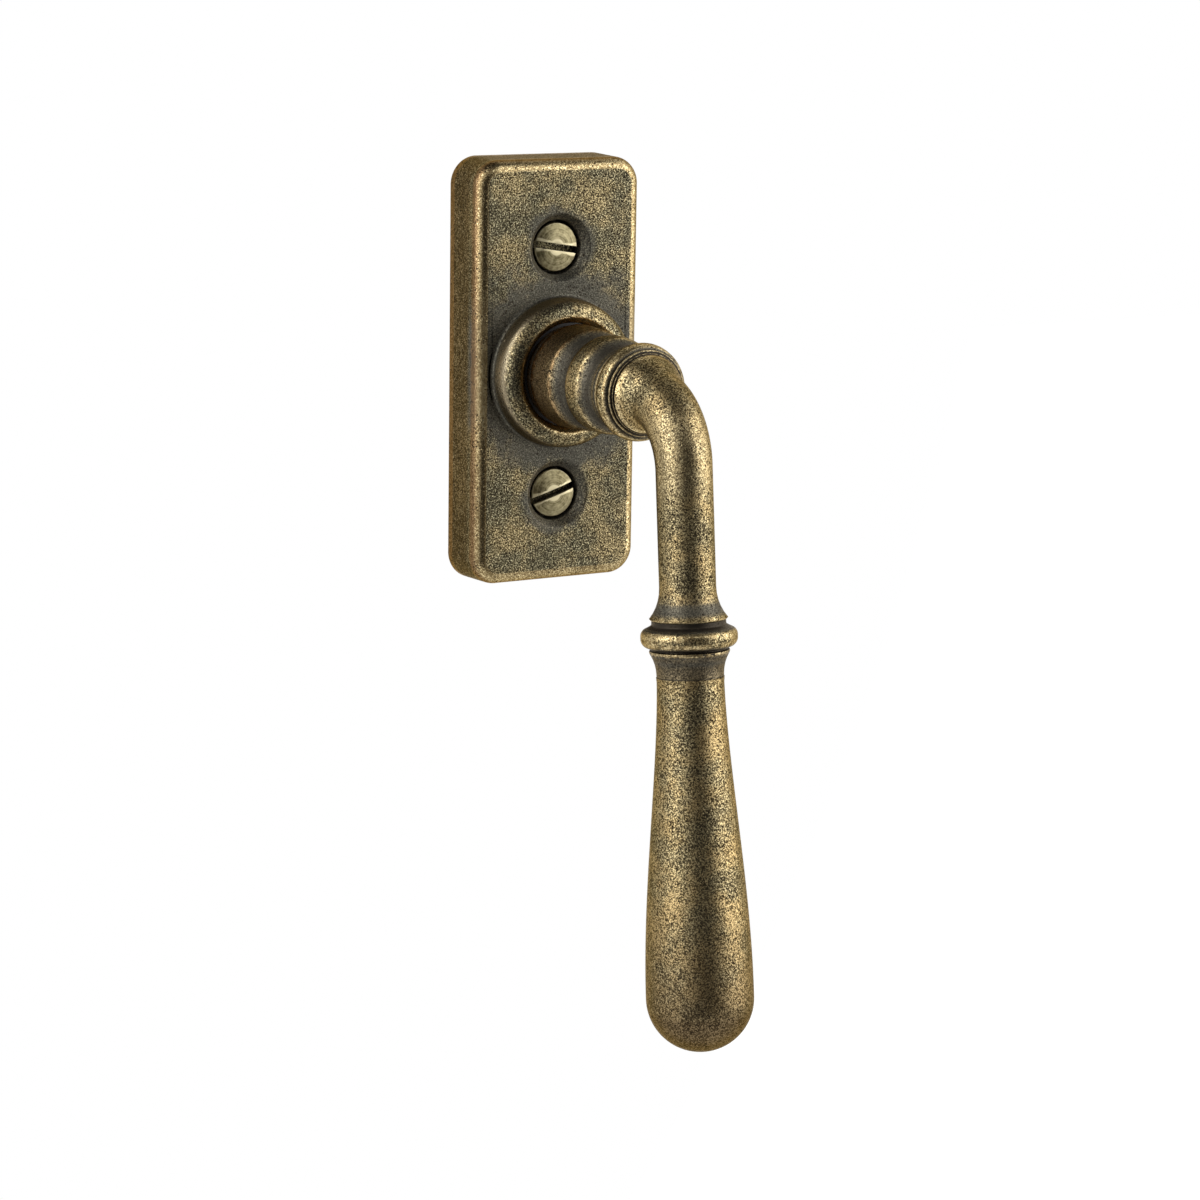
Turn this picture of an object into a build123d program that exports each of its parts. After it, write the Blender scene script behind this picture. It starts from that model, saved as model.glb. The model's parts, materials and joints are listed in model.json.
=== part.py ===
# Window handle: a rectangular plate with a raised ring, and a turned neck carrying a drooping lever.
# Millimetres. The origin is where the spindle's axis crosses the mounting face.
# +Z is up, -Y faces the room, +Y goes into the window frame. A depth is minus the Y coordinate.
from build123d import *
from math import cos, radians, sin, sqrt, tan
import os

os.makedirs("parts", exist_ok=True)

# Clearances
seat_clearance = 0.02
running_clearance = 0.05
axial_play = 0.1
fitting_clearance = 0.15
loose_clearance = 0.3

# Plate
plate_width = 32.6
plate_height = 73.9
plate_depth = 10.0
plate_draft = 1.5
plate_corner_radius = 4.9
plate_edge_radius = 2.2

# Raised ring on the plate, round the neck
boss_radius = 13.05
boss_height = 5.0
boss_crest_width = 2.15
boss_shoulder_inset = 0.5
boss_shoulder_height = 3.3
boss_mouth_drop = 0.8
boss_pocket_length = 2.4

# Fixing screws, slotted cheese head M5
screw_spacing = 43.0
screw_thread_radius = 2.5
screw_shank_radius = 2.24
screw_length = 45.0
screw_thread_length = 35.0
screw_tip_chamfer = 0.8
head_radius = 4.25
head_height = 3.3
head_crown = 0.35
head_wall_clearance = 0.5
slot_width = 1.2
slot_depth = 2.0
head_sunk = 1.15
dish_width = 1.2
dish_depth = 1.3
dish_edge_slope = 0.5
upper_slot_angle = -9.0
lower_slot_angle = 17.0

# Locating sleeves round the fixing screws, 10 mm where they enter the window frame
nib_radius = 5.0
nib_length = 2.5
nib_chamfer = 0.4
nib_flange_step = 0.3
nib_flange_depth = 1.5
nib_spigot_step = 0.8
nib_spigot_length = 1.7
nib_bore_clearance = 0.2

# Neck of the lever, from the wall outwards
journal_radius = 7.0
journal_tail = 0.6
hub_radius = 8.5
hub_gap = 0.6
drum_radius = 9.0
drum_rounding = 0.4
drum_standoff = 0.6
drum_taper = 0.25
drum_length = 6.0
first_cove_dip = 1.5
first_cove_rise = 0.25
first_cove_length = 4.8
first_cove_low_share = 0.67
second_ring_radius = 8.34
second_ring_rounding = 0.35
second_ring_fall = 0.15
second_ring_width = 3.6
second_cove_dip = 1.3
second_cove_rise = 0.15
second_cove_length = 4.9
second_cove_low_share = 0.5
cove_end_slope = 0.15
fillet_line_height = 0.2
fillet_line_width = 0.5
fillet_line_gap = 0.6
third_ring_radius = 8.15
third_ring_fall = 0.6
third_ring_width = 3.2
groove_dip = 1.75
groove_width = 0.25
groove_ridge_height = 0.7
groove_ridge_width = 0.3
knuckle_radius = 6.7
knuckle_rounding = 0.25
knuckle_cone_length = 3.8
knuckle_cone_fall = 2.3
knuckle_cone_bulge = 0.25

# Arm of the lever, from the neck's axis down to its end
lever_lean = 5.44
arm_reach = 10.85
bend_radius = 12.1
bend_root_radius = 5.3
bend_sections = 6
bend_taper_power = 2
stem_radius = 4.72
stem_length = 30.3
flare_length = 5.4
lip_radius = 6.6
lip_width = 0.9
bead_gap = 0.3
bead_gap_dip = 0.35
bead_radius = 8.07
bead_width = 3.4
lower_lip_radius = 6.8
lower_lip_width = 0.5
waist_radius = 5.6
waist_cove_length = 4.2
grip_middle_radius = 7.5
grip_end_radius = 9.05
grip_length = 54.1

# Spindle, 7 mm square, and its cross pin
spindle_size = 7.0
spindle_corner = 0.5
spindle_reach = 35.0
spindle_point = 0.8
socket_length = 25.8
pin_radius = 1.0
pin_wall = 0.4
pin_slit = 0.3
pin_inset = 0.4

# Bush and the stack that holds the lever in
bush_wall = 1.0
bush_flange_thickness = 1.0
washer_radius = 9.0
washer_thickness = 0.5
curved_washer_thickness = 0.3
curved_washer_height = 0.6
circlip_thickness = 1.0
circlip_groove_dip = 0.3
circlip_width = 1.6
circlip_gap_angle = 40.0
circlip_lug_radius = 1.1
circlip_eye_radius = 0.5
circlip_gap_trim = 8.0

# Detent that stops the lever every quarter turn
cam_size = 12.5
cam_corner_radius = 8.0
cam_thickness = 2.5
spring_thickness = 0.5
spring_length = 26.0
housing_wall = 1.2

# Rear cover and its countersunk screws, M2
cavity_depth = 7.5
cavity_corner_radius = 2.0
cover_recess = 0.3
cover_thickness = 1.2
cover_ledge = 3.85
cover_end_ledge = 0.95
cover_screw_radius = 1.0
cover_screw_length = 5.0
cover_screw_head_radius = 1.9
cover_screw_slot = 0.5
cover_screw_slot_depth = 0.5

# Depths in the plate and the stack behind it
screw_height = screw_spacing / 2
head_top = plate_depth - head_sunk
head_seat = head_top - head_height
counterbore_radius = head_radius + head_wall_clearance
dish_radius = counterbore_radius + dish_width
nib_bore_radius = screw_thread_radius + nib_bore_clearance
nib_flange_radius = nib_radius + nib_flange_step
nib_spigot_radius = nib_radius - nib_spigot_step
nib_spigot_depth = nib_flange_depth + nib_spigot_length
boss_front = plate_depth + boss_height
pocket_floor = boss_front - boss_pocket_length
pocket_radius = hub_radius + hub_gap
bush_bore_radius = journal_radius + running_clearance
bush_radius = bush_bore_radius + bush_wall
bush_flange_radius = pocket_radius - fitting_clearance
bush_front = pocket_floor + bush_flange_thickness
washer_bore_radius = journal_radius + loose_clearance
curved_washer_front = cavity_depth - washer_thickness
curved_washer_back = curved_washer_front - curved_washer_height
circlip_front = curved_washer_back - washer_thickness
circlip_back = circlip_front - circlip_thickness
circlip_groove_back = circlip_back - axial_play
circlip_groove_radius = journal_radius - circlip_groove_dip
journal_end = circlip_groove_back - journal_tail
cover_front = cover_recess + cover_thickness
cam_back = cover_front + axial_play
cam_front = cam_back + cam_thickness

# Widths of the detent, from the cam outwards
spindle_half_diagonal = spindle_size / sqrt(2)
socket_size = spindle_size + 2 * running_clearance
spring_offset = cam_size / 2 + running_clearance + spring_thickness / 2
chamber_half_width = cam_corner_radius + spring_thickness + loose_clearance
chamber_half_height = cam_corner_radius + loose_clearance
housing_half_width = chamber_half_width + housing_wall
housing_half_height = spring_length / 2 + axial_play + housing_wall
housing_pocket_radius = washer_radius + loose_clearance
housing_pocket_back = circlip_back - loose_clearance
cavity_half_width = housing_half_width + fitting_clearance
cavity_half_height = housing_half_height + fitting_clearance
insert_corner_radius = cavity_corner_radius - fitting_clearance
cover_half_width = cavity_half_width + cover_ledge
cover_half_height = cavity_half_height + cover_end_ledge
cover_screw_offset = cavity_half_width + cover_ledge / 2

# Depths along the neck
hub_back = bush_front + axial_play
drum_back = boss_front + drum_standoff
drum_front = drum_back + drum_length
second_ring_back = drum_front + first_cove_length
second_ring_front = second_ring_back + second_ring_width
fillet_line_back = second_ring_front + second_cove_length
fillet_line_front = fillet_line_back + fillet_line_width
third_ring_back = fillet_line_front + fillet_line_gap
third_ring_front = third_ring_back + third_ring_width
ridge_back = third_ring_front + groove_width
ridge_front = ridge_back + groove_ridge_width
knuckle_back = ridge_front + groove_width
knuckle_front = knuckle_back + knuckle_rounding + knuckle_cone_length
pin_depth = (pocket_floor + cavity_depth) / 2

# The arm's axis crosses the neck's axis in front of the knuckle and leans out towards its lower end
arm_depth = knuckle_back + arm_reach
bend_angle = 90 - lever_lean
bend_end = bend_radius * tan(radians(bend_angle) / 2)
bend_start = arm_depth - bend_end
arm_down = (0, -sin(radians(lever_lean)), -cos(radians(lever_lean)))
arm_axis = Axis((0, -arm_depth, 0), arm_down)
arm_plane = Plane(origin=(0, -arm_depth, 0), x_dir=(1, 0, 0), z_dir=Vector(1, 0, 0).cross(Vector(*arm_down)))
flare_end = stem_length + flare_length
lip_end = flare_end + lip_width
bead_start = lip_end + bead_gap
bead_end = bead_start + bead_width
lower_lip_start = bead_end + bead_gap
lower_lip_end = lower_lip_start + lower_lip_width
waist_distance = lower_lip_end + waist_cove_length
grip_middle_distance = waist_distance + grip_length / 2
grip_end_distance = waist_distance + grip_length


def room_side(depth, height=0):
    """The plane at this depth that faces the room, with its local X along X and its local Y along Z."""
    return Plane(origin=(0, -depth, height), x_dir=(1, 0, 0), z_dir=(0, -1, 0))


def write(part, name):
    """Name a finished piece and write its STEP file."""
    part.label = name
    export_step(part, f"parts/{name}.step")


# The plate: ring boss, cavity for the detent and seats for the screws
with BuildPart() as base_plate:
    with BuildSketch(room_side(0)):
        RectangleRounded(plate_width, plate_height, plate_corner_radius)
    extrude(amount=plate_depth, taper=plate_draft)
    fillet(base_plate.faces().sort_by(Axis.Y)[0].edges(), radius=plate_edge_radius)
    with BuildSketch(Plane.XY):
        with BuildLine():
            foot = (boss_radius, -plate_depth)
            shoulder = (boss_radius - boss_shoulder_inset, -plate_depth - boss_shoulder_height)
            crest = (pocket_radius + boss_crest_width, -boss_front)
            mouth = (pocket_radius, -boss_front + boss_mouth_drop)
            Spline(foot, shoulder, crest, tangents=[(0, -1), (-1, 0)])
            TangentArc(crest, mouth, tangent=(-1, 0))
            Polyline(mouth, (0, mouth[1]), (0, -cavity_depth), (boss_radius, -cavity_depth), foot)
        make_face()
    revolve(axis=Axis.Y)
    with BuildSketch(room_side(boss_front)):
        Circle(pocket_radius)
    extrude(amount=-(boss_front - pocket_floor), mode=Mode.SUBTRACT)
    with BuildSketch(room_side(boss_front)):
        Circle(bush_radius + seat_clearance)
    extrude(amount=-boss_front, mode=Mode.SUBTRACT)
    with BuildSketch(room_side(0)):
        RectangleRounded(2 * cavity_half_width, 2 * cavity_half_height, cavity_corner_radius)
    extrude(amount=cavity_depth, mode=Mode.SUBTRACT)
    with BuildSketch(room_side(0)):
        cover_opening_width = 2 * (cover_half_width + fitting_clearance)
        cover_opening_height = 2 * (cover_half_height + fitting_clearance)
        RectangleRounded(cover_opening_width, cover_opening_height, cavity_corner_radius)
    extrude(amount=cover_front, mode=Mode.SUBTRACT)
    with BuildSketch(room_side(0)):
        with Locations((-cover_screw_offset, 0), (cover_screw_offset, 0)):
            Circle(cover_screw_radius + seat_clearance)
    extrude(amount=cover_screw_length + loose_clearance, mode=Mode.SUBTRACT)
    for height in (screw_height, -screw_height):
        with BuildSketch(Plane.XY.offset(height)):
            with BuildLine():
                bore = nib_bore_radius
                spigot = nib_spigot_radius + seat_clearance
                flange = nib_flange_radius + seat_clearance
                spigot_floor = -nib_spigot_depth - axial_play
                dish_floor = -plate_depth + dish_depth
                Polyline((0, 0), (flange, 0), (flange, -nib_flange_depth), (spigot, -nib_flange_depth),
                         (spigot, spigot_floor), (bore, spigot_floor), (bore, -head_seat),
                         (counterbore_radius, -head_seat), (counterbore_radius, dish_floor))
                TangentArc((dish_radius, -plate_depth), (counterbore_radius, dish_floor),
                           tangent=(-1, dish_edge_slope))
                Polyline((dish_radius, -plate_depth), (dish_radius, -boss_front), (0, -boss_front), (0, 0))
            make_face()
        revolve(axis=Axis((0, 0, height), (0, 1, 0)), mode=Mode.SUBTRACT)
write(base_plate.part, "base_plate")

# The hole for the cross pin, through the journal and the spindle
with BuildSketch(Plane.XY) as pin_hole:
    with Locations((0, -pin_depth)):
        Circle(pin_radius + seat_clearance)

# The lever: neck, knuckle, bent stem, collar and grip in one casting
with BuildPart() as lever:
    with BuildSketch(Plane.XY):
        with BuildLine():
            drum_side = drum_radius - drum_rounding
            drum_edge = drum_radius - drum_taper
            first_waist = drum_radius - first_cove_dip
            first_low = -drum_front - first_cove_length * first_cove_low_share
            cove_foot = first_waist + first_cove_rise
            ring_side = second_ring_radius - second_ring_rounding
            ring_crest = -second_ring_back - second_ring_rounding
            ring_foot = second_ring_radius - second_ring_fall
            second_waist = second_ring_radius - second_cove_dip
            second_low = -second_ring_front - second_cove_length * second_cove_low_share
            line_foot = second_waist + second_cove_rise
            line_crest = line_foot + fillet_line_height
            third_foot = third_ring_radius - third_ring_fall
            groove = third_ring_radius - groove_dip
            ridge = groove + groove_ridge_height
            knuckle_side = knuckle_radius - knuckle_rounding
            knuckle_rim = -knuckle_back - knuckle_rounding
            cone_end = knuckle_radius - knuckle_cone_fall
            Polyline((0, -journal_end), (journal_radius, -journal_end),
                     (journal_radius, -circlip_groove_back), (circlip_groove_radius, -circlip_groove_back),
                     (circlip_groove_radius, -circlip_front), (journal_radius, -circlip_front),
                     (journal_radius, -hub_back), (hub_radius, -hub_back),
                     (hub_radius, -drum_back), (drum_side, -drum_back))
            RadiusArc((drum_side, -drum_back), (drum_radius, -drum_back - drum_rounding), -drum_rounding)
            Line((drum_radius, -drum_back - drum_rounding), (drum_edge, -drum_front))
            Spline((drum_edge, -drum_front), (first_waist, first_low), (cove_foot, -second_ring_back),
                   tangents=[(0, -1), (cove_end_slope, -1)])
            Line((cove_foot, -second_ring_back), (ring_side, -second_ring_back))
            RadiusArc((ring_side, -second_ring_back), (second_ring_radius, ring_crest),
                      -second_ring_rounding)
            Spline((second_ring_radius, ring_crest), (ring_foot, -second_ring_front),
                   (second_waist, second_low), (line_foot, -fillet_line_back),
                   tangents=[(0, -1), (cove_end_slope, -1)])
            Polyline((line_foot, -fillet_line_back), (line_crest, -fillet_line_back),
                     (line_crest, -fillet_line_front), (line_foot, -fillet_line_front),
                     (line_foot, -third_ring_back), (third_foot, -third_ring_back))
            ThreePointArc((third_foot, -third_ring_back),
                          (third_ring_radius, -(third_ring_back + third_ring_front) / 2),
                          (third_foot, -third_ring_front))
            Polyline((third_foot, -third_ring_front), (groove, -third_ring_front),
                     (groove, -ridge_back), (ridge, -ridge_back),
                     (ridge, -ridge_front), (groove, -ridge_front),
                     (groove, -knuckle_back), (knuckle_side, -knuckle_back))
            RadiusArc((knuckle_side, -knuckle_back), (knuckle_radius, knuckle_rim), -knuckle_rounding)
            SagittaArc((knuckle_radius, knuckle_rim), (cone_end, -knuckle_front), -knuckle_cone_bulge)
            Polyline((cone_end, -knuckle_front), (0, -knuckle_front), (0, -journal_end))
        make_face()
    revolve(axis=Axis.Y)
    with BuildLine(Plane.YZ, mode=Mode.PRIVATE):
        bend = JernArc((-bend_start, 0), (-1, 0), bend_radius, bend_angle)
    for section in range(bend_sections + 1):
        along = section / bend_sections
        with BuildSketch(Plane(bend.location_at(along))):
            Circle(stem_radius + (bend_root_radius - stem_radius) * (1 - along) ** bend_taper_power)
    loft()
    with BuildSketch(arm_plane):
        with BuildLine():
            Polyline((0, bend_end), (stem_radius, bend_end), (stem_radius, stem_length))
            TangentArc((stem_radius, stem_length), (lip_radius, flare_end), tangent=(0, 1))
            gap_radius = lip_radius - bead_gap_dip
            Polyline((lip_radius, flare_end), (lip_radius, lip_end),
                     (gap_radius, lip_end), (gap_radius, bead_start))
            ThreePointArc((gap_radius, bead_start), (bead_radius, (bead_start + bead_end) / 2),
                          (gap_radius, bead_end))
            Polyline((gap_radius, bead_end), (gap_radius, lower_lip_start),
                     (lower_lip_radius, lower_lip_start), (lower_lip_radius, lower_lip_end))
            TangentArc((waist_radius, waist_distance), (lower_lip_radius, lower_lip_end), tangent=(0, -1))
            Spline((waist_radius, waist_distance), (grip_middle_radius, grip_middle_distance),
                   (grip_end_radius, grip_end_distance), tangents=[(0, 1), (0, 1)])
            CenterArc((0, grip_end_distance), grip_end_radius, 0, 90)
            Line((0, grip_end_distance + grip_end_radius), (0, bend_end))
        make_face()
    revolve(axis=arm_axis)
    with BuildSketch(room_side(journal_end)):
        Rectangle(socket_size, socket_size)
    extrude(amount=socket_length, mode=Mode.SUBTRACT)
    extrude(pin_hole.sketch, amount=journal_radius, both=True, mode=Mode.SUBTRACT)
write(lever.part, "lever")

# Square spindle, pointed at the end that enters the window gear
with BuildPart() as square_spindle:
    with BuildSketch(room_side(-spindle_reach)):
        Rectangle(spindle_size, spindle_size)
    extrude(amount=spindle_reach + journal_end + socket_length - axial_play)
    chamfer(square_spindle.edges().filter_by(Axis.Y), length=spindle_corner)
    chamfer(square_spindle.faces().sort_by(Axis.Y)[-1].edges(), length=spindle_point)
    extrude(pin_hole.sketch, amount=spindle_size, both=True, mode=Mode.SUBTRACT)
write(square_spindle.part, "square_spindle")

# Slotted spring pin through the journal and the spindle, hidden inside the bush
with BuildPart() as spindle_pin:
    with BuildSketch(Plane.XY):
        with Locations((0, -pin_depth)):
            Circle(pin_radius)
            Circle(pin_radius - pin_wall, mode=Mode.SUBTRACT)
        with Locations((pin_radius, -pin_depth)):
            Rectangle(2 * pin_radius, pin_slit, mode=Mode.SUBTRACT)
    extrude(amount=journal_radius - pin_inset, both=True)
write(spindle_pin.part, "spindle_pin")

# Flanged bush that the lever's journal turns in
with BuildPart() as bearing_bush:
    with BuildSketch(Plane.XY):
        with BuildLine():
            Polyline((bush_bore_radius, -cavity_depth), (bush_radius, -cavity_depth),
                     (bush_radius, -pocket_floor), (bush_flange_radius, -pocket_floor),
                     (bush_flange_radius, -bush_front), (bush_bore_radius, -bush_front), close=True)
        make_face()
    revolve(axis=Axis.Y)
write(bearing_bush.part, "bearing_bush")

# Flat washers in front of and behind the curved spring washer
for washer_name, washer_depth in (("thrust_washer", curved_washer_front), ("backing_washer", circlip_front)):
    with BuildPart() as flat_washer:
        with BuildSketch(room_side(washer_depth)):
            Circle(washer_radius)
            Circle(washer_bore_radius, mode=Mode.SUBTRACT)
        extrude(amount=washer_thickness)
    write(flat_washer.part, washer_name)

# Curved spring washer, bent about one axis, that takes up the end play
with BuildPart() as curved_washer:
    with BuildSketch(Plane.XY):
        with BuildLine():
            rise = curved_washer_height - curved_washer_thickness - 2 * seat_clearance
            low = -curved_washer_back - seat_clearance
            ThreePointArc((-washer_radius, low), (0, low - rise), (washer_radius, low))
            offset_low = low - curved_washer_thickness
            ThreePointArc((-washer_radius, offset_low), (0, offset_low - rise), (washer_radius, offset_low))
            Line((-washer_radius, low), (-washer_radius, offset_low))
            Line((washer_radius, low), (washer_radius, offset_low))
        make_face()
    extrude(amount=washer_radius, both=True)
    with BuildSketch(room_side(0)):
        Circle(washer_radius)
        Circle(washer_bore_radius, mode=Mode.SUBTRACT)
    extrude(amount=cavity_depth, mode=Mode.INTERSECT)
write(curved_washer.part, "curved_washer")

# Retaining ring in the journal's groove
with BuildPart() as retaining_ring:
    with BuildSketch(room_side(circlip_back)):
        ring_bore = circlip_groove_radius + seat_clearance
        Circle(ring_bore + circlip_width)
        first_lug_angle = 90 - circlip_gap_angle / 2
        lug_places = PolarLocations(ring_bore + circlip_lug_radius, 2, first_lug_angle, circlip_gap_angle,
                                    endpoint=True)
        with lug_places:
            Circle(circlip_lug_radius)
        Circle(ring_bore, mode=Mode.SUBTRACT)
        gap_half = washer_radius * tan(radians(circlip_gap_angle / 2 - circlip_gap_trim))
        with BuildLine():
            Polyline((0, 0), (-gap_half, washer_radius), (gap_half, washer_radius), close=True)
        make_face(mode=Mode.SUBTRACT)
        with lug_places:
            Circle(circlip_eye_radius, mode=Mode.SUBTRACT)
    extrude(amount=circlip_thickness)
write(retaining_ring.part, "retaining_ring")

# Four-sided cam on the spindle: its flats rest on the leaf springs every quarter turn
with BuildPart() as index_cam:
    with BuildSketch(room_side(cam_back)):
        Rectangle(cam_size, cam_size)
        Circle(cam_corner_radius, mode=Mode.INTERSECT)
        Rectangle(socket_size, socket_size, mode=Mode.SUBTRACT)
    extrude(amount=cam_thickness)
write(index_cam.part, "index_cam")

# The two leaf springs that press on the cam
for spring_name, side in (("detent_spring_left", -1), ("detent_spring_right", 1)):
    with BuildPart() as detent_spring:
        with BuildSketch(room_side(cam_back)):
            with Locations((side * spring_offset, 0)):
                Rectangle(spring_thickness, spring_length)
        extrude(amount=cam_thickness)
    write(detent_spring.part, spring_name)

# Frame that holds the leaf springs by their ends and clears the retaining ring
with BuildPart() as detent_housing:
    with BuildSketch(room_side(cover_front)):
        RectangleRounded(2 * housing_half_width, 2 * housing_half_height, insert_corner_radius)
        Rectangle(2 * chamber_half_width, 2 * chamber_half_height, mode=Mode.SUBTRACT)
    extrude(amount=cavity_depth - cover_front)
    with BuildSketch(room_side(cover_front)):
        with Locations((-spring_offset, 0), (spring_offset, 0)):
            Rectangle(spring_thickness + 2 * axial_play, spring_length + 2 * axial_play)
    extrude(amount=cam_thickness + 2 * axial_play, mode=Mode.SUBTRACT)
    with BuildSketch(room_side(housing_pocket_back)):
        Circle(housing_pocket_radius)
    extrude(amount=cavity_depth - housing_pocket_back, mode=Mode.SUBTRACT)
write(detent_housing.part, "detent_housing")

# Cover over the cavity
with BuildPart() as rear_cover:
    with BuildSketch(room_side(cover_recess)):
        RectangleRounded(2 * cover_half_width, 2 * cover_half_height, insert_corner_radius)
        Circle(spindle_half_diagonal + loose_clearance, mode=Mode.SUBTRACT)
    extrude(amount=cover_thickness)
    for offset in (-cover_screw_offset, cover_screw_offset):
        with BuildSketch(Plane.XY):
            with BuildLine():
                countersink = cover_screw_head_radius + running_clearance
                hole = cover_screw_radius + running_clearance
                Polyline((offset, 0), (offset + countersink, 0), (offset + countersink, -cover_recess),
                         (offset + hole, -cover_recess - countersink + hole), (offset + hole, -cover_front),
                         (offset, -cover_front), close=True)
            make_face()
        revolve(axis=Axis((offset, 0, 0), (0, 1, 0)), mode=Mode.SUBTRACT)
write(rear_cover.part, "rear_cover")

# The two countersunk screws that hold the cover
for screw_name, side in (("cover_screw_left", -1), ("cover_screw_right", 1)):
    offset = side * cover_screw_offset
    with BuildPart() as cover_screw:
        with BuildSketch(Plane.XY):
            with BuildLine():
                head_side = offset + cover_screw_head_radius
                shank_side = offset + cover_screw_radius
                cone_end = cover_recess + cover_screw_head_radius - cover_screw_radius
                Polyline((offset, -cover_recess), (head_side, -cover_recess), (shank_side, -cone_end),
                         (shank_side, -cover_screw_length), (offset, -cover_screw_length), close=True)
            make_face()
        revolve(axis=Axis((offset, 0, 0), (0, 1, 0)))
        with BuildSketch(room_side(cover_recess)):
            with Locations((offset, 0)):
                Rectangle(2 * cover_screw_head_radius, cover_screw_slot)
        extrude(amount=cover_screw_slot_depth, mode=Mode.SUBTRACT)
    write(cover_screw.part, screw_name)

# What repeats at the upper and the lower fixing hole
for place, side, slot_angle in (("upper", 1, upper_slot_angle), ("lower", -1, lower_slot_angle)):
    height = side * screw_height
    screw_axis = Axis((0, 0, height), (0, 1, 0))
    with BuildPart() as locating_sleeve:
        with BuildSketch(Plane.XY.offset(height)):
            with BuildLine():
                Polyline((nib_bore_radius, nib_length), (nib_radius - nib_chamfer, nib_length),
                         (nib_radius, nib_length - nib_chamfer), (nib_radius, 0),
                         (nib_flange_radius, 0), (nib_flange_radius, -nib_flange_depth),
                         (nib_spigot_radius, -nib_flange_depth), (nib_spigot_radius, -nib_spigot_depth),
                         (nib_bore_radius, -nib_spigot_depth), close=True)
            make_face()
        revolve(axis=screw_axis)
    write(locating_sleeve.part, f"locating_sleeve_{place}")

    with BuildPart() as fixing_screw:
        with BuildSketch(Plane.XY.offset(height)):
            with BuildLine():
                tip = screw_length - head_seat
                thread_start = tip - screw_thread_length
                shank_flank = screw_thread_radius - screw_shank_radius
                Polyline((0, tip), (screw_thread_radius - screw_tip_chamfer, tip),
                         (screw_thread_radius, tip - screw_tip_chamfer), (screw_thread_radius, thread_start),
                         (screw_shank_radius, thread_start - shank_flank), (screw_shank_radius, -head_seat),
                         (head_radius, -head_seat), (head_radius, -head_top + head_crown))
                TangentArc((0, -head_top), (head_radius, -head_top + head_crown), tangent=(1, 0))
                Line((0, -head_top), (0, tip))
            make_face()
        revolve(axis=screw_axis)
        with BuildSketch(room_side(head_top, height)):
            Rectangle(2 * head_radius, slot_width, rotation=slot_angle)
        extrude(amount=-slot_depth, mode=Mode.SUBTRACT)
    write(fixing_screw.part, f"fixing_screw_{place}")
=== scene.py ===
# Window handle in antique brass: its pieces, their finishes and the studio.
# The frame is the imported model's: +Z is up and -Y faces the room. Sizes are in millimetres, and MM makes
# them metres. A depth is how far a form stands out of the wall towards the room.
import json
from math import ceil, copysign, cos, pi, radians, sin, tan

import bmesh
import bpy
import numpy as np
from mathutils import Matrix, Vector


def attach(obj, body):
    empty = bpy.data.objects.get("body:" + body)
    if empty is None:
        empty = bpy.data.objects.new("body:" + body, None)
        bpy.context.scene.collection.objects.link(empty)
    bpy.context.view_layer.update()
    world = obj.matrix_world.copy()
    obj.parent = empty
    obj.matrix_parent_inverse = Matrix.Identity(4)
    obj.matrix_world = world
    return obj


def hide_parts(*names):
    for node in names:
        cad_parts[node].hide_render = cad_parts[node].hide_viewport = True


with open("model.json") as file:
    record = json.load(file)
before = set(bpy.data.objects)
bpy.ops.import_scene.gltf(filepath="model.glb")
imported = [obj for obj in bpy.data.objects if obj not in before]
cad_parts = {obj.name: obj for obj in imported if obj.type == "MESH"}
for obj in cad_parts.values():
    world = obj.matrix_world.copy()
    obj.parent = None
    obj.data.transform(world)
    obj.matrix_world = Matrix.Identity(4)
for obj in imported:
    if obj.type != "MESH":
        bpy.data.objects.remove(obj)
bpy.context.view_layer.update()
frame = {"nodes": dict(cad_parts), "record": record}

MM = 0.001

# The photograph's camera, worked out from the outlines of the plate, the rings and the lever
photo_width = 1200
origin_pixel = (530.7, 364.7)
pixels_per_metre = 5689.0
camera_azimuth = radians(-30.43)
camera_elevation = radians(11.38)
camera_roll = radians(0.877)
camera_distance = 0.628
sensor_width = 36.0

# Plate
plate_half_width = 16.3
plate_half_height = 36.95
plate_front = 10.0
plate_draft = 0.26
plate_corner = 4.9
plate_edge = 2.2
plate_back_edge = 0.3
plate_back_rim = 0.8
plate_front_rim = 3.0

# Raised ring round the neck, with the pocket that the neck turns in
ring_foot = 13.05
ring_foot_rim = 0.85
ring_foot_fillet = 0.6
ring_shoulder = 12.7
ring_shoulder_fall = 0.15
ring_shoulder_round = 2.6
ring_crest = 9.95
ring_crest_round = 0.7
ring_front = 15.0
pocket_mouth = 14.2
pocket_radius = 9.1
pocket_round = 0.25
pocket_floor = 12.6
bush_seat = 8.07

# Cavity behind the plate, and the recess of its cover
cavity_half_width = 10.15
cavity_half_height = 14.45
cavity_depth = 7.5
cavity_corner = 2.0
cover_half_width = 14.15
cover_half_height = 15.55
cover_recess = 1.5
cover_rim = 0.3
cover_screw_offset = 12.075
cover_screw_hole = 1.02
cover_screw_depth = 5.3

# Fixing screws and their seats
screw_height = 21.5
dish_radius = 5.95
dish_rim = 0.55
dish_round = 0.4
dish_floor = 8.7
counterbore = 4.75
head_seat = 5.55
head_top = 8.85
head_rim = 8.5
head_radius = 4.25
dome_fall = 0.03
dome_radius = 2.2
dome_round = 6.0
screw_bore = 2.7
sleeve_seat = 5.32
sleeve_floor = 1.5
spigot_seat = 4.22
spigot_floor = 3.3
slot_width = 1.2
slot_depth = 2.0
slot_burr = 0.16
lip_depth = 0.5
lip_angle = radians(45)
slot_angles = {"upper": radians(-9), "lower": radians(17)}
shank_radius = 2.24
shank_end = 4.3
shank_cone_end = 4.6
thread_root = 2.02
thread_crest = 2.5
thread_pitch = 0.8
thread_start = 5.0
thread_turns = 41
thread_steps = 24
screw_length = 39.45
screw_tip_chamfer = 0.85
screw_tip_radius = 1.5

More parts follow.
